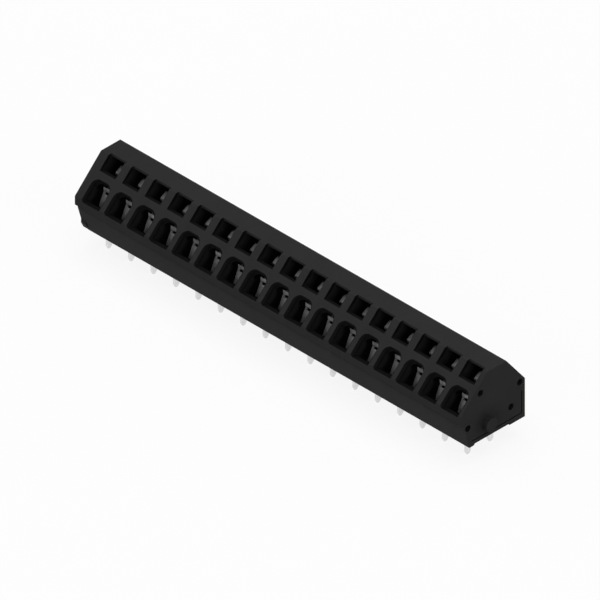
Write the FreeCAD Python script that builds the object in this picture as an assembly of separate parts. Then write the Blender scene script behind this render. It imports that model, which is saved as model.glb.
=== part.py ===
"""Board terminal block: a row of single-pole tension-clamp modules with an end plate.

Millimetres, +Z up from the board. The origin is on the board surface, at the centre of the
front solder pin of the first pole. +X runs along the row, and wires enter from the -Y side.
"""
import FreeCAD
import Part
import math
import os

# Row of poles
poles = 17
pitch = 5.08
pole_centre_x = 2.44
end_plate_thickness = 1.15

# Outer section of a housing: depth from the front face, height above the board
depth = 14.5
height = 12.9
front_face_low = 5.28
front_face_high = 6.955
top_rear_y = 10.3
rear_face_high = 7.5
undercut = 0.58
front_foot_y = 1.9

# Underside: two feet with a shallow recess between them
recess_height = 0.27
front_foot_rear_y = 2.9
rear_foot_front_y = 11.0

# Lower front outline of the end plate
plate_knee_y = 1.4
plate_knee_z = 1.9
plate_foot_y = 1.95
plate_foot_z = 1.1

# Wire entry, an arch on the 45 degree face
entry_width = 4.13
entry_top_s = 4.28
entry_corner_radius = 1.5
entry_corner_s = 2.82
entry_floor_drop = 0.4
entry_floor_run = 0.82
flare_inset = 0.375
flare_depth = 0.4

# Screwdriver opening above the wire entry
driver_width = 3.55
driver_floor_s = 5.5
driver_floor_run = 0.6
driver_rear_run = 0.64
driver_rear_drop = 0.45

# Contact chamber, open towards -X and closed by the next piece of the row
lip_t = 2.25
nose_bay_t = 1.35
nose_bay_s = 2.9
rib_t = 2.75
chamber_top_s = 8.75
chamber_deep_t = 9.35
chamber_bevel_s = 0.75
chamber_bevel_t = 0.9
chamber_front_y = 2.75
floor_height = 1.3
shelf_height = 2.15

# Joining features on the free end of the row
boss_radius = 1.25
boss_length = 1.0
boss_place = (6.05, 2.95)
socket_radius = 0.6
socket_depth = 1.0
socket_places = [(4.41, 9.47), (13.33, 7.25), (11.33, 3.41), (1.57, 3.96)]
groove_width = 0.2
groove_depth = 0.3
groove_y = 13.75
groove_z = 1.05
groove_top_z = 5.4
groove_front_y = 2.45

# Solder pins and current bar, one folded sheet
sheet = 0.5
pin_width = 1.0
pin_row_y = 4.15
pin_rows = 5.08
pin_length = 3.5
pin_tip_length = 0.6
pin_tip_width = 0.45
pin_tip_thickness = 0.25
slot_clearance = 0.1
sheet_clearance = 0.05
web_clearance = 0.15
arm_height = 0.8
tongue_width = 1.35
tongue_under_s = 3.08
tongue_nose_y = 3.6
tongue_deep_t = 9.0
web_front_t = 6.3
web_front_y = 6.2
web_top_z = 2.77
joggle_low_z = 2.15

# Tension-clamp spring, one bent strip
strip = 0.3
strip_width = 2.4
tail_end_s = 0.5
tail_end_t = 3.9
knee_bend = (2.98, 3.02, 0.15)
seat_deep_bend = (6.2, 4.45, 0)
seat_front_bend = (6.42, 3.22, 0.15)
shoulder_bend = (7.85, 3.62, 0.15)
loop_top_clearance = 0.35
loop_deep_clearance = 0.3
loop_radius = 0.9
base_end_t = 5.0
window_clearance = 0.1
window_low_s = 2.65
window_high_s = 6.05
window_near_t = 2.5
window_far_t = 4.8

slope = math.sqrt(0.5)
out_of_the_way = 2.0
quarter_turn = 90
sharpest_arc = 0.01
top_front_y = height - front_face_high
channel_width = entry_width - 2 * flare_inset
chamber_right_x = pole_centre_x + channel_width / 2
tongue_top_s = tongue_under_s + sheet
pin_centres_y = (pin_row_y, pin_row_y + pin_rows)
web_rear_y = pin_centres_y[-1] + pin_width / 2
joggle_height = (tongue_width - sheet) / 2
loop_top_s = chamber_top_s - loop_top_clearance - strip / 2
loop_deep_t = chamber_deep_t - loop_deep_clearance - strip / 2


def on_slope(s, t):
    """(y, z) of a point s up the 45 degree face and t below it."""
    return (slope * (s + t), front_face_high + slope * (s - t))


def pole_point(x, s, t):
    """Point at x from the pole's centre, s up the sloping face and t below it."""
    y, z = on_slope(s, t)
    return FreeCAD.Vector(pole_centre_x + x, y, z)


def polygon_face(points):
    """Flat face over a closed outline of points."""
    return Part.Face(Part.makePolygon(points + points[:1]))


def prism(outline, x_from, x_to):
    """Solid along X over a closed outline of (y, z) points."""
    face = polygon_face([FreeCAD.Vector(x_from, y, z) for y, z in outline])
    return face.extrude(FreeCAD.Vector(x_to - x_from, 0, 0))


def rod(place, radius, x_from, length):
    """Round solid along X about a (y, z) point."""
    start = FreeCAD.Vector(x_from, place[0], place[1])
    return Part.makeCylinder(radius, length, start, FreeCAD.Vector(1, 0, 0))


def outer_section(lower_front):
    """Outline of the block, with its lower front corners given from the undercut down."""
    rear_step = rear_foot_front_y - recess_height
    front_step = front_foot_rear_y + recess_height
    return [
        (0, front_face_high),
        (top_front_y, height),
        (top_rear_y, height),
        (depth, rear_face_high),
        (depth, 0),
        (rear_foot_front_y, 0),
        (rear_step, recess_height),
        (front_step, recess_height),
        (front_foot_rear_y, 0),
    ] + lower_front + [
        (undercut, front_face_low - undercut),
        (0, front_face_low),
    ]


def arch_channel():
    """Straight part of the wire entry: an arch with rounded shoulders and a flat top."""
    half = channel_width / 2
    radius = entry_corner_radius - flare_inset
    centre_x = half - radius
    top = entry_top_s - flare_inset
    rise = top - entry_corner_s
    flat = centre_x + math.sqrt(radius ** 2 - rise ** 2)
    turn = math.asin(rise / radius) / 2
    arc_x = centre_x + radius * math.cos(turn)
    arc_s = entry_corner_s + radius * math.sin(turn)

    def at(x, s):
        return pole_point(x, s, 0)

    low_left = at(-half, -out_of_the_way)
    low_right = at(half, -out_of_the_way)
    right = Part.Arc(at(half, entry_corner_s), at(arc_x, arc_s), at(flat, top))
    left = Part.Arc(at(-flat, top), at(-arc_x, arc_s), at(-half, entry_corner_s))
    edges = [
        Part.LineSegment(low_left, low_right).toShape(),
        Part.LineSegment(low_right, at(half, entry_corner_s)).toShape(),
        right.toShape(),
        Part.LineSegment(at(flat, top), at(-flat, top)).toShape(),
        left.toShape(),
        Part.LineSegment(at(-half, entry_corner_s), low_left).toShape(),
    ]
    inward = pole_point(0, 0, rib_t) - pole_point(0, 0, 0)
    return Part.Face(Part.Wire(edges)).extrude(inward)


def arch_flare():
    """Lead-in of the wire entry: level sides and ceiling, conical shoulders."""
    wide = entry_width / 2
    narrow = wide - flare_inset
    centre_x = wide - entry_corner_radius
    top = entry_top_s + flare_inset
    up_slope = pole_point(0, entry_corner_s, 0) - pole_point(0, -out_of_the_way, 0)
    sides = polygon_face([
        pole_point(-wide, -out_of_the_way, 0),
        pole_point(wide, -out_of_the_way, 0),
        pole_point(narrow, -out_of_the_way, flare_depth),
        pole_point(-narrow, -out_of_the_way, flare_depth),
    ]).extrude(up_slope)
    across = pole_point(centre_x, 0, 0) - pole_point(-centre_x, 0, 0)
    middle = polygon_face([
        pole_point(-centre_x, entry_corner_s, 0),
        pole_point(-centre_x, top, 0),
        pole_point(-centre_x, top, flare_depth),
        pole_point(-centre_x, entry_corner_s, flare_depth),
    ]).extrude(across)
    flare = sides.fuse(middle)
    inward = pole_point(0, 0, 1) - pole_point(0, 0, 0)
    for side in (-1, 1):
        axis_point = pole_point(side * centre_x, entry_corner_s, 0)
        section = polygon_face([
            axis_point,
            pole_point(side * wide, entry_corner_s, 0),
            pole_point(side * narrow, entry_corner_s, flare_depth),
            pole_point(side * centre_x, entry_corner_s, flare_depth),
        ])
        flare = flare.fuse(section.revolve(axis_point, inward, side * quarter_turn))
    ceiling = prism([
        on_slope(-out_of_the_way, 0),
        on_slope(entry_top_s, 0),
        on_slope(entry_top_s - flare_inset, flare_depth),
        on_slope(-out_of_the_way, flare_depth),
    ], 0, pitch)
    return flare.common(ceiling)


def wire_entry():
    """Space of the wire entry: a flared arch that runs straight on into the chamber."""
    floor_z = front_face_high - entry_floor_drop
    floor_s = slope * (entry_floor_run - entry_floor_drop)
    above_floor = prism([
        (-depth, floor_z),
        (entry_floor_run, floor_z),
        on_slope(floor_s, depth),
        on_slope(depth, depth),
        on_slope(depth, -depth),
    ], 0, pitch)
    return arch_flare().fuse(arch_channel()).common(above_floor)


def driver_opening():
    """Space of the screwdriver opening, with a level floor lip and an upright rear lip."""
    floor_y, floor_z = on_slope(driver_floor_s, 0)
    inner_floor_y = floor_y + driver_floor_run
    rear_y = top_front_y + driver_rear_run
    rear_z = height - driver_rear_drop
    floor_s = slope * (inner_floor_y + floor_z - front_face_high)
    rear_s = slope * (rear_y + rear_z - front_face_high)
    outline = [
        (floor_y - out_of_the_way, floor_z),
        (inner_floor_y, floor_z),
        on_slope(floor_s, rib_t),
        on_slope(rear_s, rib_t),
        (rear_y, rear_z),
        (rear_y, height + out_of_the_way),
        (floor_y - out_of_the_way, height + out_of_the_way),
    ]
    return prism(outline, chamber_right_x - driver_width, chamber_right_x)


def chamber():
    """Space for the bar and the spring, open on the side where they are put in."""
    rear_y = web_rear_y + web_clearance
    corner_s = rear_y / slope - chamber_deep_t
    floor_s = slope * (entry_floor_run - entry_floor_drop)
    ceiling_s = entry_top_s - flare_inset
    front_z = front_face_high + floor_s / slope - chamber_front_y
    upper = prism([
        on_slope(chamber_top_s, rib_t),
        on_slope(chamber_top_s, chamber_deep_t - chamber_bevel_t),
        on_slope(chamber_top_s - chamber_bevel_s, chamber_deep_t),
        on_slope(corner_s, chamber_deep_t),
        (rear_y, shelf_height),
        (chamber_front_y, shelf_height),
        (chamber_front_y, front_z),
        on_slope(floor_s, lip_t),
        on_slope(nose_bay_s, lip_t),
        on_slope(nose_bay_s, nose_bay_t),
        on_slope(ceiling_s, nose_bay_t),
        on_slope(ceiling_s, rib_t),
    ], 0, chamber_right_x)
    sheet_right_x = pole_centre_x + sheet / 2 + sheet_clearance
    lower = prism([
        (chamber_front_y, shelf_height),
        (rear_y, shelf_height),
        (rear_y, floor_height),
        (chamber_front_y, floor_height),
    ], 0, sheet_right_x)
    space = upper.fuse(lower)
    half_slot = pin_width / 2 + slot_clearance
    for centre in pin_centres_y:
        slot = prism([
            (centre - half_slot, floor_height),
            (centre + half_slot, floor_height),
            (centre + half_slot, -out_of_the_way),
            (centre - half_slot, -out_of_the_way),
        ], 0, sheet_right_x)
        space = space.fuse(slot)
    return space


def joining_groove(x_face):
    """Fine groove that follows the rear and the foot of the joining face."""
    half = groove_width / 2
    outline = [
        (groove_y - half, groove_top_z),
        (groove_y + half, groove_top_z),
        (groove_y + half, groove_z),
        (groove_y, groove_z - half),
        (groove_front_y, groove_z - half),
        (groove_front_y, groove_z + half),
        (groove_y - half, groove_z + half),
    ]
    return prism(outline, x_face - groove_depth, x_face)


def pole_housing():
    """Moulded housing of one pole, in its own frame from x = 0 to one pitch."""
    foot = [(front_foot_y, 0)]
    body = prism(outer_section(foot), 0, pitch)
    body = body.cut(chamber())
    body = body.cut(wire_entry())
    body = body.cut(driver_opening())
    return body.removeSplitter()


def last_housing():
    """Housing at the free end of the row, where the boss, sockets and groove lie open."""
    body = pole_housing().fuse(rod(boss_place, boss_radius, pitch, boss_length))
    for place in socket_places:
        body = body.cut(rod(place, socket_radius, pitch - socket_depth, socket_depth))
    return body.cut(joining_groove(pitch))


def end_plate():
    """Moulded plate that closes the open side of the first pole."""
    foot = [
        (plate_foot_y, 0),
        (plate_knee_y, plate_foot_z),
        (plate_knee_y, plate_knee_z),
    ]
    body = prism(outer_section(foot), -end_plate_thickness, 0)
    return body.removeSplitter()


def joggled_sheet(y_from, y_to):
    """Upright sheet that steps sideways between the pins and the tongue's edge."""
    low_x = pole_centre_x - sheet / 2
    high_x = pole_centre_x + tongue_width / 2 - sheet
    step_top_z = joggle_low_z + joggle_height
    tip_z = -pin_length + pin_tip_length
    corners = [
        (pole_centre_x - pin_tip_thickness / 2, -pin_length),
        (pole_centre_x + pin_tip_thickness / 2, -pin_length),
        (low_x + sheet, tip_z),
        (low_x + sheet, joggle_low_z),
        (high_x + sheet, step_top_z),
        (high_x + sheet, height),
        (high_x, height),
        (high_x, step_top_z),
        (low_x, joggle_low_z),
        (low_x, tip_z),
    ]
    points = [FreeCAD.Vector(x, y_from, z) for x, z in corners]
    return polygon_face(points).extrude(FreeCAD.Vector(0, y_to - y_from, 0))


def pin_end(centre_y):
    """Lower corners of a solder pin, from its front side round to its rear side."""
    tip_z = -pin_length + pin_tip_length
    return [
        (centre_y - pin_width / 2, tip_z),
        (centre_y - pin_tip_width / 2, -pin_length),
        (centre_y + pin_tip_width / 2, -pin_length),
        (centre_y + pin_width / 2, tip_z),
    ]


def web_outline():
    """Blank of the upright sheet: front pin, arm, web below the tongue, rear pin."""
    front_low = pin_row_y - pin_width / 2
    front_high = pin_row_y + pin_width / 2
    rear_low = web_rear_y - pin_width
    deep_y = on_slope(tongue_under_s, tongue_deep_t)[0]
    front_pin, rear_pin = [pin_end(centre) for centre in pin_centres_y]
    return front_pin + [
        (front_high, floor_height),
        (rear_low, floor_height),
    ] + rear_pin + [
        (web_rear_y, web_top_z),
        (deep_y, web_top_z),
        on_slope(tongue_under_s, tongue_deep_t),
        on_slope(tongue_under_s, web_front_t),
        (web_front_y, floor_height + arm_height),
        (front_low, floor_height + arm_height),
    ]


def tongue():
    """Sloping contact tongue, cut upright at its nose."""
    left_x = pole_centre_x - tongue_width / 2
    right_x = pole_centre_x + tongue_width / 2
    nose_top_t = tongue_nose_y / slope - tongue_top_s
    nose_under_t = tongue_nose_y / slope - tongue_under_s
    return prism([
        on_slope(tongue_top_s, nose_top_t),
        on_slope(tongue_top_s, tongue_deep_t),
        on_slope(tongue_under_s, tongue_deep_t),
        on_slope(tongue_under_s, nose_under_t),
    ], left_x, right_x)


def current_bar():
    """Current bar of one pole: tongue, web, arm and two solder pins in one sheet."""
    web = prism(web_outline(), 0, pitch).common(joggled_sheet(0, depth))
    return web.fuse(tongue()).removeSplitter()


def unit(from_point, to_point):
    """Direction between two flat points."""
    run = (to_point[0] - from_point[0], to_point[1] - from_point[1])
    length = math.hypot(run[0], run[1])
    return (run[0] / length, run[1] / length)


def offset_corner(before, corner, after, distance):
    """Corner of a line that runs beside before, corner, after at a distance."""
    way_in = unit(before, corner)
    way_out = unit(corner, after)
    normal = (-way_in[1] - way_out[1], way_in[0] + way_out[0])
    reach = math.hypot(normal[0], normal[1])
    cosine = way_in[0] * way_out[0] + way_in[1] * way_out[1]
    scale = distance / math.sqrt((1 + cosine) / 2) / reach
    return (corner[0] + normal[0] * scale, corner[1] + normal[1] * scale)


def side_edges(path, distance):
    """Edges of one side of the strip: straight runs, with arcs or sharp inner corners."""
    points = []
    for index, (s, t, radius) in enumerate(path):
        if index == 0:
            way = unit(path[0], path[1])
            points.append((s - way[1] * distance, t + way[0] * distance, 0))
            continue
        if index == len(path) - 1:
            way = unit(path[-2], path[-1])
            points.append((s - way[1] * distance, t + way[0] * distance, 0))
            continue
        before, after = path[index - 1], path[index + 1]
        way_in, way_out = unit(before, path[index]), unit(path[index], after)
        turn = way_in[0] * way_out[1] - way_in[1] * way_out[0]
        towards_centre = distance if turn > 0 else -distance
        side_radius = radius - towards_centre if radius else 0
        corner = offset_corner(before, path[index], after, distance)
        points.append((corner[0], corner[1], side_radius))

    def at(s, t):
        y, z = on_slope(s, t)
        return FreeCAD.Vector(0, y, z)

    edges = []
    last = (points[0][0], points[0][1])
    for index in range(1, len(points) - 1):
        s, t, radius = points[index]
        if radius < sharpest_arc:
            edges.append(Part.LineSegment(at(*last), at(s, t)).toShape())
            last = (s, t)
            continue
        way_in = unit(points[index - 1], points[index])
        way_out = unit(points[index], points[index + 1])
        cosine = way_in[0] * way_out[0] + way_in[1] * way_out[1]
        half_turn = math.acos(cosine) / 2
        trim = radius * math.tan(half_turn)
        start = (s - way_in[0] * trim, t - way_in[1] * trim)
        end = (s + way_out[0] * trim, t + way_out[1] * trim)
        inner = unit((0, 0), (way_out[0] - way_in[0], way_out[1] - way_in[1]))
        gap = radius / math.cos(half_turn) - radius
        middle = (s + inner[0] * gap, t + inner[1] * gap)
        edges.append(Part.LineSegment(at(*last), at(*start)).toShape())
        edges.append(Part.Arc(at(*start), at(*middle), at(*end)).toShape())
        last = end
    final = (points[-1][0], points[-1][1])
    edges.append(Part.LineSegment(at(*last), at(*final)).toShape())
    return edges


def clamp_spring():
    """Looped strip: base on the tongue, loop, shoulder, screwdriver seat, leg with window, tail."""
    base_s = tongue_top_s + strip / 2
    path = [
        (tail_end_s, tail_end_t, 0),
        knee_bend,
        seat_deep_bend,
        seat_front_bend,
        shoulder_bend,
        (loop_top_s, loop_deep_t, loop_radius),
        (base_s, loop_deep_t, loop_radius),
        (base_s, base_end_t, 0),
    ]
    one_side = side_edges(path, strip / 2)
    other_side = side_edges(path, -strip / 2)
    first_end = Part.LineSegment(other_side[0].Vertexes[0].Point, one_side[0].Vertexes[0].Point)
    last_end = Part.LineSegment(one_side[-1].Vertexes[1].Point, other_side[-1].Vertexes[1].Point)
    loop = one_side + [last_end.toShape()] + other_side + [first_end.toShape()]
    outline = Part.Wire(Part.__sortEdges__(loop))
    left_x = pole_centre_x - strip_width / 2
    band = Part.Face(outline).extrude(FreeCAD.Vector(strip_width, 0, 0))
    band.translate(FreeCAD.Vector(left_x, 0, 0))
    half_window = tongue_width / 2 + window_clearance
    window = prism([
        on_slope(window_low_s, window_near_t),
        on_slope(window_high_s, window_near_t),
        on_slope(window_high_s, window_far_t),
        on_slope(window_low_s, window_far_t),
    ], pole_centre_x - half_window, pole_centre_x + half_window)
    return band.cut(window).removeSplitter()


def save(name, shape, pole_index):
    """Move a shape from its pole's own frame into the part's frame and write it."""
    solid = shape.Solids[0].copy()
    solid.translate(FreeCAD.Vector(pole_index * pitch - pole_centre_x, -pin_row_y, 0))
    solid.exportStep("parts/" + name + ".step")
    print(name, "solids", len(shape.Solids), "valid", solid.isValid(), "volume", round(solid.Volume, 3))


def named(piece, index):
    """Name of a repeated piece, numbered from the end plate."""
    return "%s_%02d" % (piece, index + 1)


os.makedirs("parts", exist_ok=True)
save("end_plate", end_plate(), 0)
inner_housing = pole_housing()
bar = current_bar()
spring = clamp_spring()
for index in range(poles):
    save(named("current_bar", index), bar, index)
    save(named("clamp_spring", index), spring, index)
for index in range(poles - 1):
    save(named("pole_housing", index), inner_housing, index)
save(named("pole_housing", poles - 1), last_housing(), poles - 1)
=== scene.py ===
"""The looks of the 17-pole printed circuit board terminal block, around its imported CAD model."""

import math

import bmesh
import bpy
from mathutils import Matrix, Vector


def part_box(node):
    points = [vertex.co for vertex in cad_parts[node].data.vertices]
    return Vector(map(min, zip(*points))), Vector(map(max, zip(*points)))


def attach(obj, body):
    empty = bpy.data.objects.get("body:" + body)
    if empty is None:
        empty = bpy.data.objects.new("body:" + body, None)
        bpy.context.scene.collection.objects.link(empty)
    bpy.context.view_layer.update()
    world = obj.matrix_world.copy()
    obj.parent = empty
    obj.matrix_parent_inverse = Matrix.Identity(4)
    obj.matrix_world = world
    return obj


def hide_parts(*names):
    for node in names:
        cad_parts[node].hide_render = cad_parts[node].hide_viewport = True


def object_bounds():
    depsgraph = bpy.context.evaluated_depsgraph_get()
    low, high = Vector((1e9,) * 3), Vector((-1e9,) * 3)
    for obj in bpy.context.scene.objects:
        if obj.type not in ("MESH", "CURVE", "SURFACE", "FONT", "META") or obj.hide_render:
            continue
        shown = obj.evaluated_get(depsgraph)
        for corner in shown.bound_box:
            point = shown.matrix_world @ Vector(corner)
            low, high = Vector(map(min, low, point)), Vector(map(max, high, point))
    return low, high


MM = 0.001

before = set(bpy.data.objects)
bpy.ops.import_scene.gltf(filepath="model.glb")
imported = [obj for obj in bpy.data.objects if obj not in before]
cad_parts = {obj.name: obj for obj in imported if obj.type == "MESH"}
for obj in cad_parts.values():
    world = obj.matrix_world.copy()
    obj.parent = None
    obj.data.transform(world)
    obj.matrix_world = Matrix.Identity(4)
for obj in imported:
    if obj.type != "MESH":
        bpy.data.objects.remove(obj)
CAD_LOW, CAD_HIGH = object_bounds()

# Camera, 45 degrees to the right of the wire side and 35 degrees above, and how much it takes in
VIEW_DIRECTION = Vector((-0.5792280, 0.5792280, -0.5735764))
PICTURE_RIGHT = Vector((0.7071068, 0.7071068, 0.0))
AIM = Vector((40.757, 2.539, 5.229)) * MM
PICTURE_WIDTH = 96.15 * MM
CAMERA_DISTANCE = 300 * MM
CLIP_NEAR = 10 * MM
CLIP_FAR = 10.0

# The floor that the pin tips stand on: its tone to the eye, and the grey that it throws light with
WHITE = (1.0, 1.0, 1.0)
FLOOR_SIZE = 3.0
FLOOR_CORNERS = ((-1, -1), (1, -1), (1, 1), (-1, 1))
FLOOR_LIGHT_TONE = (0.35, 0.35, 0.35)
FLOOR_SHADOW_SHARE = 0.12

# Light: an even sky, and soft lamps named by where they stand, each with its level on a face turned to it
SEEN_WHITE_STRENGTH = 1.0
SKY_STRENGTH = 0.17
LAMPS = (
    ("lamp_above", (0.0, 0.0, 1.0), 0.48),
    ("lamp_front", (0.0, -1.0, 0.15), 0.42),
    ("lamp_right", (1.0, 0.0, 0.15), 0.40),
    ("lamp_left", (-1.0, 0.0, 0.15), 0.20),
    ("lamp_behind", (0.0, 1.0, 0.15), 0.12),
)
LAMP_SPREAD = math.radians(60)

# Noise: its detail, and the part of its range that is spread over a tone or a roughness
NOISE_DETAIL = 3.0
SMOOTH_NOISE_DETAIL = 2.0
NOISE_LOW = 0.3
NOISE_HIGH = 0.7

# Looks: tones from dark to light, roughness from low to high, and bumps as strength and height
PLASTIC_TONES = ((0.0233, 0.0233, 0.0238), (0.0263, 0.0263, 0.0268))
PLASTIC_ROUGHNESS = (0.52, 0.66)
PLASTIC_SPECULAR_LEVEL = 0.03
PLASTIC_GRAIN = 0.12 * MM
PLASTIC_GRAIN_BUMP = (0.20, 0.012 * MM)
PLASTIC_FLOW = 3.5 * MM
PLASTIC_FLOW_STRETCH = (1.0, 0.4, 0.4)
PLASTIC_FLOW_BUMP = (0.10, 0.02 * MM)
TIN_TONES = ((0.70, 0.70, 0.70), (0.78, 0.78, 0.775))
TIN_ROUGHNESS = (0.32, 0.46)
TIN_CLOUD = 0.6 * MM
TIN_LINE = 0.05 * MM
TIN_LINE_STRETCH = (1.0, 1.0, 0.06)
TIN_LINE_BUMP = (0.15, 0.006 * MM)
SPRING_TONES = ((0.39, 0.39, 0.395), (0.45, 0.45, 0.455))
SPRING_ROUGHNESS = (0.38, 0.50)
SPRING_CLOUD = 0.9 * MM
SPRING_LINE = 0.04 * MM
SPRING_LINE_STRETCH = (1.0, 0.05, 0.05)
SPRING_LINE_BUMP = (0.12, 0.004 * MM)

# Painted shade in recesses: how far off walls still count, and the share of the tone kept from shut in (0)
# to open (1)
# The stops are not measured on any material: they were chosen so that the render matches the photograph.
PAINTED_SHADE_SAMPLES = 16
PLASTIC_PAINTED_SHADE_REACH = 12 * MM
# On the plastic the painted shade is darkest part way in, and lighter again where the walls close in most
PLASTIC_PAINTED_SHADE_TONES = ((0.0, 0.8), (0.32, 0.7), (0.42, 0.13), (0.86, 0.15), (0.97, 0.2), (1.0, 1.0))
SPRING_PAINTED_SHADE_REACH = 5 * MM
# On the spring strip this is painted light and shade: full tone where most shut in, darkest part way out,
# lighter again where open
SPRING_PAINTED_LIGHT_AND_SHADE_TONES = ((0.15, 1.0), (0.24, 0.8), (0.36, 0.35), (1.0, 0.6))

# Places that the photograph shows lighter than their recess: the rear lips and the free end face
# The painted shade is left off the rear lips and limited on the free end face
FRONT = (0.0, -1.0, 0.0)
SQUARELY = 0.95
REAR_LIP_DROP = 0.46 * MM
BOSS_LENGTH = 1.0 * MM
END_FACE_MARGIN = 0.01 * MM
END_FACE_PAINTED_SHADE_LEAST_SHARE = 0.75

# Flare of the wire entry, on the 45 degree face: s runs up the face and t into the plastic
SLOPE = math.sqrt(0.5)
FRONT_FACE_HIGH = 6.955 * MM
SHOULDER_CENTRE_X = 0.565 * MM
SHOULDER_CENTRE_S = 2.82 * MM
SHOULDER_RADIUS = 1.5 * MM
ENTRY_TOP_S = 4.278 * MM
FLARE_INSET = 0.375 * MM
FLARE_DEPTH = 0.4 * MM
FLARE_NARROWING = FLARE_INSET / FLARE_DEPTH

# The cutter of the shoulders runs a little into the open space all round, so that no skin is left
CUTTER_EXCESS = 0.05 * MM
SHOULDER_OVERLAP = 0.1 * MM
SHOULDER_START = math.radians(-6)
SHOULDER_STEPS = 10
WELD = 0.0002 * MM

HOUSINGS = sorted(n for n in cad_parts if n.startswith("pole_housing"))
POLE_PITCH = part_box(HOUSINGS[0])[1][0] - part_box(HOUSINGS[0])[0][0]
END_FACE_X = CAD_HIGH.x - BOSS_LENGTH
BARS = sorted(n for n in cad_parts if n.startswith("current_bar"))
SPRINGS = sorted(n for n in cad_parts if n.startswith("clamp_spring"))


def opaque(colour):
    return (*colour, 1.0)


def new_material(name):
    """An empty material, with its node tree and its output."""
    material = bpy.data.materials.new(name)
    material.use_nodes = True
    tree = material.node_tree
    tree.nodes.clear()
    output = tree.nodes.new("ShaderNodeOutputMaterial")
    return material, tree, output


def principled(tree, output):
    shader = tree.nodes.new("ShaderNodeBsdfPrincipled")
    tree.links.new(shader.outputs["BSDF"], output.inputs["Surface"])
    return shader


def object_place(tree, stretch=(1.0, 1.0, 1.0)):
    """The place on the object, in metres, stretched along its axes."""
    place = tree.nodes.new("ShaderNodeTexCoord")
    mapping = tree.nodes.new("ShaderNodeMapping")
    mapping.inputs["Scale"].default_value = stretch
    tree.links.new(place.outputs["Object"], mapping.inputs["Vector"])
    return mapping.outputs["Vector"]


def place_along(tree, axis):
    """How far along that axis the place is, in metres."""
    place = tree.nodes.new("ShaderNodeSeparateXYZ")
    tree.links.new(object_place(tree), place.inputs["Vector"])
    return place.outputs[axis]


def noise(tree, place, grain, detail=NOISE_DETAIL):
    """Noise whose grains are about that size, in metres."""
    node = tree.nodes.new("ShaderNodeTexNoise")
    node.inputs["Scale"].default_value = 1.0 / grain
    node.inputs["Detail"].default_value = detail
    tree.links.new(place, node.inputs["Vector"])
    return node.outputs["Fac"]


def between(tree, value, low, high):
    """A value from noise, spread from low to high."""
    node = tree.nodes.new("ShaderNodeMapRange")
    node.inputs["From Min"].default_value = NOISE_LOW
    node.inputs["From Max"].default_value = NOISE_HIGH
    node.inputs["To Min"].default_value = low
    node.inputs["To Max"].default_value = high
    tree.links.new(value, node.inputs["Value"])
    return node.outputs["Result"]


def ramp(tree, value, stops):
    """A colour that runs through the stops, each a place and its colour, as the value rises."""
    node = tree.nodes.new("ShaderNodeValToRGB")
    elements = node.color_ramp.elements
    for place, _ in stops[1:-1]:
        elements.new(place)
    for element, (place, colour) in zip(elements, stops):
        element.position = place
        element.color = opaque(colour)
    tree.links.new(value, node.inputs["Fac"])
    return node.outputs["Color"]


def two_tones(tree, value, dark, light):
    """A colour between two, by a value from noise."""
    return ramp(tree, value, [(NOISE_LOW, dark), (NOISE_HIGH, light)])


def bump(tree, value, strength, height, under=None):
    """Surface direction over a relief of that height, on top of the one under it."""
    node = tree.nodes.new("ShaderNodeBump")
    node.inputs["Strength"].default_value = strength
    node.inputs["Distance"].default_value = height
    tree.links.new(value, node.inputs["Height"])
    if under is not None:
        tree.links.new(under, node.inputs["Normal"])
    return node.outputs["Normal"]


def number_step(tree, operation, value, other):
    """A step of arithmetic on a value, with another value or a plain number."""
    node = tree.nodes.new("ShaderNodeMath")
    node.operation = operation
    tree.links.new(value, node.inputs[0])
    if isinstance(other, float):
        node.inputs[1].default_value = other
    else:
        tree.links.new(other, node.inputs[1])
    return node.outputs["Value"]


def colour_step(tree, operation, colour, other):
    """A step of arithmetic on each channel of two colours."""
    node = tree.nodes.new("ShaderNodeVectorMath")
    node.operation = operation
    tree.links.new(colour, node.inputs[0])
    tree.links.new(other, node.inputs[1])
    return node.outputs["Vector"]


def painted_recess_shade(tree, reach, tones, own_walls_only):
    """Painted shade: the share of the tone that is left where walls close the surface in."""
    nearby = tree.nodes.new("ShaderNodeAmbientOcclusion")
    nearby.samples = PAINTED_SHADE_SAMPLES
    nearby.only_local = own_walls_only
    nearby.inputs["Distance"].default_value = reach
    stops = [(place, (share, share, share)) for place, share in tones]
    return ramp(tree, nearby.outputs["AO"], stops)


def rear_lips_free_of_painted_shade(tree):
    """1 on the upright rear lips of the screwdriver openings, which face the wire side, and 0 elsewhere:
    there the painted shade is left off.
    """
    surface = tree.nodes.new("ShaderNodeNewGeometry")
    turn = tree.nodes.new("ShaderNodeVectorMath")
    turn.operation = "DOT_PRODUCT"
    turn.inputs[1].default_value = FRONT
    tree.links.new(surface.outputs["True Normal"], turn.inputs[0])
    high = number_step(tree, "GREATER_THAN", place_along(tree, "Z"), CAD_HIGH.z - REAR_LIP_DROP)
    squarely = number_step(tree, "GREATER_THAN", turn.outputs["Value"], SQUARELY)
    return number_step(tree, "MULTIPLY", squarely, high)


def end_face_painted_shade_limit(tree):
    """The least share of the tone that the painted shade leaves on the free end face and its boss, which no
    opening shuts in, and 0 elsewhere.
    """
    there = number_step(tree, "GREATER_THAN", place_along(tree, "X"), END_FACE_X - END_FACE_MARGIN)
    return number_step(tree, "MULTIPLY", there, END_FACE_PAINTED_SHADE_LEAST_SHARE)


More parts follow.
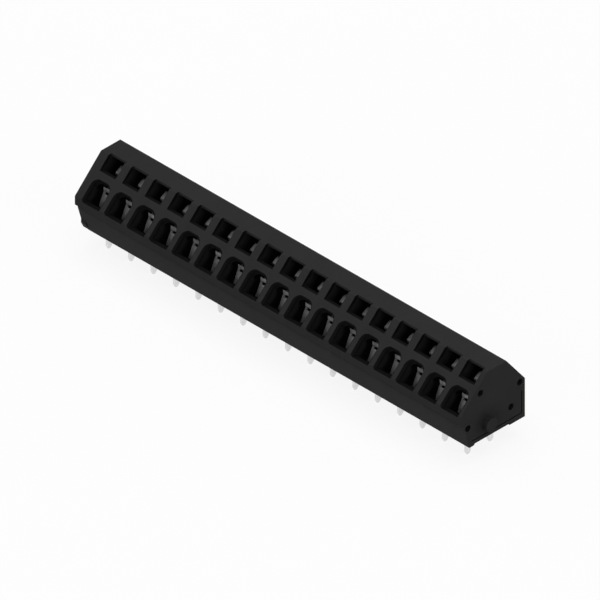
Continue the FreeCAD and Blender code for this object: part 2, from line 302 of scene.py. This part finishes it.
def moulded_plastic():
    """Black polyamide from a finely eroded mould: even grain, slow changes of tone from the flow."""
    material, tree, output = new_material("moulded_black_plastic")
    shader = principled(tree, output)
    grain = noise(tree, object_place(tree), PLASTIC_GRAIN)
    flow = noise(tree, object_place(tree, PLASTIC_FLOW_STRETCH), PLASTIC_FLOW, SMOOTH_NOISE_DETAIL)
    tone = two_tones(tree, flow, *PLASTIC_TONES)
    # Painted shade: the tone is darkened where the block's own walls close the surface in, except on the
    # rear lips and the free end face
    shade = painted_recess_shade(tree, PLASTIC_PAINTED_SHADE_REACH, PLASTIC_PAINTED_SHADE_TONES, own_walls_only=True)
    shade = colour_step(tree, "MAXIMUM", shade, rear_lips_free_of_painted_shade(tree))
    shade = colour_step(tree, "MAXIMUM", shade, end_face_painted_shade_limit(tree))
    relief = bump(tree, grain, *PLASTIC_GRAIN_BUMP, under=bump(tree, flow, *PLASTIC_FLOW_BUMP))
    tree.links.new(colour_step(tree, "MULTIPLY", tone, shade), shader.inputs["Base Color"])
    tree.links.new(between(tree, grain, *PLASTIC_ROUGHNESS), shader.inputs["Roughness"])
    tree.links.new(relief, shader.inputs["Normal"])
    shader.inputs["Specular IOR Level"].default_value = PLASTIC_SPECULAR_LEVEL
    return material


def tin_plate():
    """Matt tin over rolled copper alloy: fine lines along the strip under a slightly cloudy plating."""
    material, tree, output = new_material("tin_plated_sheet")
    shader = principled(tree, output)
    lines = noise(tree, object_place(tree, TIN_LINE_STRETCH), TIN_LINE, SMOOTH_NOISE_DETAIL)
    cloud = noise(tree, object_place(tree), TIN_CLOUD)
    tree.links.new(two_tones(tree, cloud, *TIN_TONES), shader.inputs["Base Color"])
    tree.links.new(between(tree, cloud, *TIN_ROUGHNESS), shader.inputs["Roughness"])
    tree.links.new(bump(tree, lines, *TIN_LINE_BUMP), shader.inputs["Normal"])
    shader.inputs["Metallic"].default_value = 1.0
    return material


def spring_strip():
    """Bright rolled spring steel, darker than the tin, with lines along the strip."""
    material, tree, output = new_material("spring_steel_strip")
    shader = principled(tree, output)
    lines = noise(tree, object_place(tree, SPRING_LINE_STRETCH), SPRING_LINE, SMOOTH_NOISE_DETAIL)
    cloud = noise(tree, object_place(tree), SPRING_CLOUD)
    tone = two_tones(tree, cloud, *SPRING_TONES)
    # Painted light and shade: the strip's tone follows how shut in it is, full deep in the chamber and
    # darker further out
    shade = painted_recess_shade(tree, SPRING_PAINTED_SHADE_REACH, SPRING_PAINTED_LIGHT_AND_SHADE_TONES, own_walls_only=False)
    tree.links.new(colour_step(tree, "MULTIPLY", tone, shade), shader.inputs["Base Color"])
    tree.links.new(between(tree, lines, *SPRING_ROUGHNESS), shader.inputs["Roughness"])
    tree.links.new(bump(tree, lines, *SPRING_LINE_BUMP), shader.inputs["Normal"])
    shader.inputs["Metallic"].default_value = 1.0
    return material


def seen_or_mirrored(tree):
    """1 for what the camera, a reflection or a clear material sees, and 0 for light."""
    path = tree.nodes.new("ShaderNodeLightPath")
    total = path.outputs["Is Camera Ray"]
    for ray in ("Is Glossy Ray", "Is Transmission Ray"):
        total = number_step(tree, "MAXIMUM", total, path.outputs[ray])
    return total


def mixed(tree, share, one, other):
    """One shader and the other mixed by a share of the other, either a socket or a plain number."""
    node = tree.nodes.new("ShaderNodeMixShader")
    if isinstance(share, float):
        node.inputs["Fac"].default_value = share
    else:
        tree.links.new(share, node.inputs["Fac"])
    tree.links.new(one, node.inputs[1])
    tree.links.new(other, node.inputs[2])
    return node.outputs["Shader"]


def matt(tree, colour):
    shader = tree.nodes.new("ShaderNodeBsdfDiffuse")
    shader.inputs["Color"].default_value = opaque(colour)
    return shader.outputs["BSDF"]


def white_floor():
    """A pale floor that shows as white and keeps a faint shadow."""
    material, tree, output = new_material("pale_floor")
    glow = tree.nodes.new("ShaderNodeEmission")
    glow.inputs["Strength"].default_value = SEEN_WHITE_STRENGTH
    to_the_eye = mixed(tree, 1.0 - FLOOR_SHADOW_SHARE, matt(tree, WHITE), glow.outputs["Emission"])
    surface = mixed(tree, seen_or_mirrored(tree), matt(tree, FLOOR_LIGHT_TONE), to_the_eye)
    tree.links.new(surface, output.inputs["Surface"])
    return material


def dress(names, material):
    """Gives the CAD nodes of those names the material."""
    for name in names:
        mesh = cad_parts[name].data
        mesh.materials.clear()
        mesh.materials.append(material)


def placed(name, data):
    """A new object in the scene."""
    piece = bpy.data.objects.new(name, data)
    bpy.context.scene.collection.objects.link(piece)
    return piece


def shoulder_ring(side, t):
    """Outline at depth t of the space in one rounded shoulder, as points (x, s) from the pole's middle."""
    radius = SHOULDER_RADIUS - t * FLARE_NARROWING
    top = ENTRY_TOP_S - t * FLARE_NARROWING - SHOULDER_CENTRE_S
    end = math.asin(top / radius)
    angles = [SHOULDER_START] + [end * k / SHOULDER_STEPS for k in range(SHOULDER_STEPS + 1)]
    ring = [(radius * math.cos(a), radius * math.sin(a)) for a in angles]
    ring += [(-SHOULDER_OVERLAP, top), (-SHOULDER_OVERLAP, ring[0][1])]
    return [(side * (SHOULDER_CENTRE_X + x), SHOULDER_CENTRE_S + s) for x, s in ring]


def shoulder_cutter(pole_x):
    """Space of both shoulders of one flare, which the solids leave filled."""
    shape = bmesh.new()
    for side in (-1, 1):
        rings = []
        for t in (-CUTTER_EXCESS, FLARE_DEPTH + CUTTER_EXCESS):
            places = [
                (pole_x + x, CAD_LOW.y + SLOPE * (s + t), FRONT_FACE_HIGH + SLOPE * (s - t))
                for x, s in shoulder_ring(side, t)
            ]
            rings.append([shape.verts.new(place) for place in places])
        outer, inner = rings
        shape.faces.new(outer)
        shape.faces.new(inner[::-1])
        for k in range(len(outer)):
            after = (k + 1) % len(outer)
            shape.faces.new((outer[k], inner[k], inner[after], outer[after]))
    bmesh.ops.recalc_face_normals(shape, faces=shape.faces)
    mesh = bpy.data.meshes.new("shoulder_cutter")
    shape.to_mesh(mesh)
    shape.free()
    return placed("shoulder_cutter", mesh)


def weld(mesh):
    """Joins corners that lie together, and takes out slivers without area and corners without a face."""
    shape = bmesh.new()
    shape.from_mesh(mesh)
    bmesh.ops.remove_doubles(shape, verts=shape.verts, dist=WELD)
    bmesh.ops.dissolve_degenerate(shape, edges=shape.edges, dist=WELD)
    loose = [corner for corner in shape.verts if not corner.link_faces]
    bmesh.ops.delete(shape, geom=loose, context="VERTS")
    shape.to_mesh(mesh)
    shape.free()


def flared_housing(index, node, material):
    """The housing of one pole with its flare carried round the shoulders of the wire entry."""
    piece = placed("flared_housing_%02d" % (index + 1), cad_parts[node].data.copy())
    weld(piece.data)
    cutter = shoulder_cutter(index * POLE_PITCH)
    cut = piece.modifiers.new("shoulders", "BOOLEAN")
    cut.operation = "DIFFERENCE"
    cut.solver = "EXACT"
    cut.object = cutter
    bpy.context.view_layer.update()
    evaluated = piece.evaluated_get(bpy.context.evaluated_depsgraph_get())
    mesh = bpy.data.meshes.new_from_object(evaluated)
    weld(mesh)
    mesh.shade_flat()
    piece.modifiers.clear()
    piece.data = mesh
    bpy.data.objects.remove(cutter)
    mesh.materials.clear()
    mesh.materials.append(material)
    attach(piece, "root")
    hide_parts(node)


def make_floor():
    """A level square under the pin tips, centred below the block."""
    mesh = bpy.data.meshes.new("floor")
    half = FLOOR_SIZE / 2
    corners = [(x * half + AIM.x, y * half + AIM.y, CAD_LOW.z) for x, y in FLOOR_CORNERS]
    mesh.from_pydata(corners, [], [range(len(corners))])
    floor = placed("floor", mesh)
    floor.data.materials.append(white_floor())


def sky(tree, strength):
    light = tree.nodes.new("ShaderNodeBackground")
    light.inputs["Color"].default_value = opaque(WHITE)
    light.inputs["Strength"].default_value = strength
    return light.outputs["Background"]


def make_world():
    """A dim even sky that shows as white."""
    world = bpy.data.worlds.new("studio")
    bpy.context.scene.world = world
    world.use_nodes = True
    tree = world.node_tree
    tree.nodes.clear()
    output = tree.nodes.new("ShaderNodeOutputWorld")
    surface = mixed(tree, seen_or_mirrored(tree), sky(tree, SKY_STRENGTH), sky(tree, SEEN_WHITE_STRENGTH))
    tree.links.new(surface, output.inputs["Surface"])


def make_lamp(name, towards, level):
    """A wide soft lamp, far off that way, at which a white face turned to it renders at the level."""
    data = bpy.data.lights.new(name, "SUN")
    data.energy = level * math.pi
    data.angle = LAMP_SPREAD
    lamp = placed(name, data)
    lamp.location = AIM + Vector(towards) * CAMERA_DISTANCE
    lamp.rotation_mode = "QUATERNION"
    lamp.rotation_quaternion = (-Vector(towards)).to_track_quat("-Z", "Y")


def make_camera():
    """A camera with parallel lines of sight, as the photograph's are close to."""
    data = bpy.data.cameras.new("camera")
    data.type = "ORTHO"
    data.ortho_scale = PICTURE_WIDTH
    data.clip_start = CLIP_NEAR
    data.clip_end = CLIP_FAR
    camera = placed("camera", data)
    up = PICTURE_RIGHT.cross(VIEW_DIRECTION)
    axes = Matrix((PICTURE_RIGHT, up, -VIEW_DIRECTION)).transposed()
    camera.matrix_world = Matrix.Translation(AIM - VIEW_DIRECTION * CAMERA_DISTANCE) @ axes.to_4x4()
    bpy.context.scene.camera = camera


plastic = moulded_plastic()
dress(["end_plate"], plastic)
for housing_index, housing in enumerate(HOUSINGS):
    flared_housing(housing_index, housing, plastic)
dress(BARS, tin_plate())
dress(SPRINGS, spring_strip())
make_floor()
make_world()
for lamp_name, lamp_towards, lamp_level in LAMPS:
    make_lamp(lamp_name, lamp_towards, lamp_level)
make_camera()
bpy.context.scene.view_settings.view_transform = "Standard"
